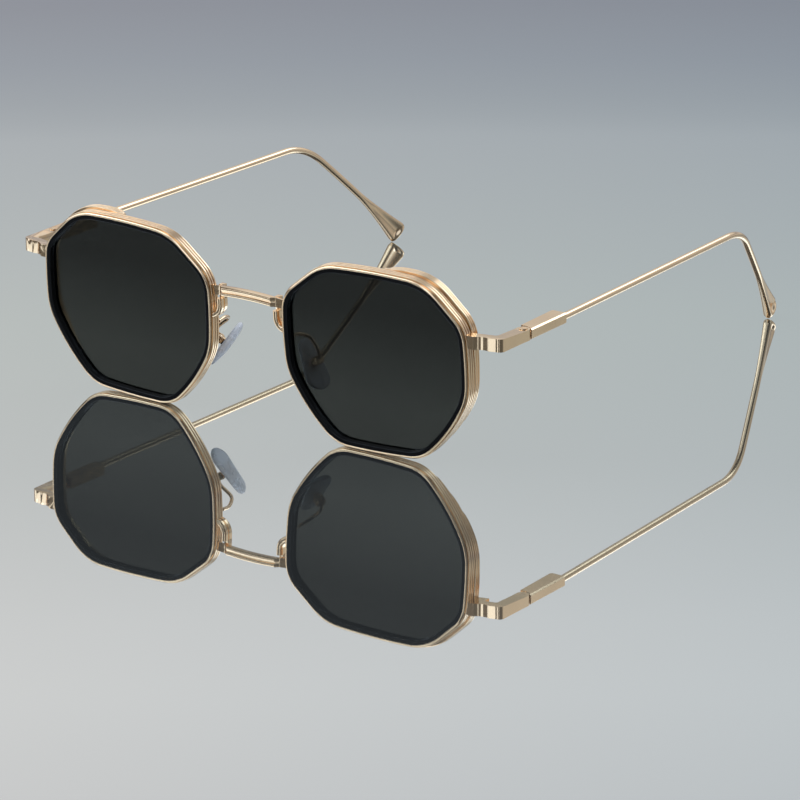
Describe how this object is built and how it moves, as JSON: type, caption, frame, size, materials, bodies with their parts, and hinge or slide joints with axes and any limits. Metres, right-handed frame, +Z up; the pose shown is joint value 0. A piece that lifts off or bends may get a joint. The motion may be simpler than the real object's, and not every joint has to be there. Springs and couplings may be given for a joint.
{
  "type": "geometric sunglasses",
  "caption": "Folding metal sunglasses with angular ridged rims, flat tinted lenses, hinged wire temples and rocking clear nose pads.",
  "frame": {"origin": "middle of the footprint, on the surface that the open glasses stand on", "axes": "+Z up, the lenses look towards -Y, the temples run back along +Y, +X is the right side seen from the front camera"},
  "size_m": [0.1402, 0.1436, 0.0457],
  "materials": {
    "gold_metal": "polished pale rose gold plating",
    "black_liner": "glossy black",
    "grey_lens": "polished, neutral grey tint",
    "clear_pad": "clear, slightly blue, smooth"
  },
  "bodies": {
    "front": {"rim_right": "gold_metal", "rim_left": "gold_metal", "liner_right": "black_liner", "liner_left": "black_liner", "lens_right": "grey_lens", "lens_left": "grey_lens", "bridge_bar": "gold_metal", "bridge_bracket_right": "gold_metal", "bridge_bracket_left": "gold_metal", "end_piece_right": "gold_metal", "end_piece_left": "gold_metal", "rim_lock_right": "gold_metal", "rim_lock_left": "gold_metal", "lock_screw_right": "gold_metal", "lock_screw_left": "gold_metal", "hinge_screw_right": "gold_metal", "hinge_screw_left": "gold_metal", "pad_arm_right": "gold_metal", "pad_arm_left": "gold_metal", "pad_screw_right": "gold_metal", "pad_screw_left": "gold_metal"},
    "temple_right": {"temple_block_right": "gold_metal", "temple_wire_right": "gold_metal"},
    "temple_left": {"temple_block_left": "gold_metal", "temple_wire_left": "gold_metal"},
    "pad_right": {"pad_core_right": "gold_metal", "nose_pad_right": "clear_pad"},
    "pad_left": {"pad_core_left": "gold_metal", "nose_pad_left": "clear_pad"}
  },
  "joints": [
    {"name": "temple_hinge_right", "type": "hinge", "parent": "front", "child": "temple_right", "pos_m": [0.06835, -0.05771, 0.0321], "axis": [0, 0, 1], "range_deg": [0, 87.5]},
    {"name": "temple_hinge_left", "type": "hinge", "parent": "front", "child": "temple_left", "pos_m": [-0.06835, -0.05771, 0.0321], "axis": [0, 0, -1], "range_deg": [0, 82]},
    {"name": "pad_rock_right", "type": "hinge", "parent": "front", "child": "pad_right", "pos_m": [0.0144, -0.06273, 0.017], "axis": [0.3416, 0.9396, -0.0208], "range_deg": [-6, 6]},
    {"name": "pad_rock_left", "type": "hinge", "parent": "front", "child": "pad_left", "pos_m": [-0.0144, -0.06273, 0.017], "axis": [0.3416, -0.9396, 0.0208], "range_deg": [-6, 6]}
  ]
}
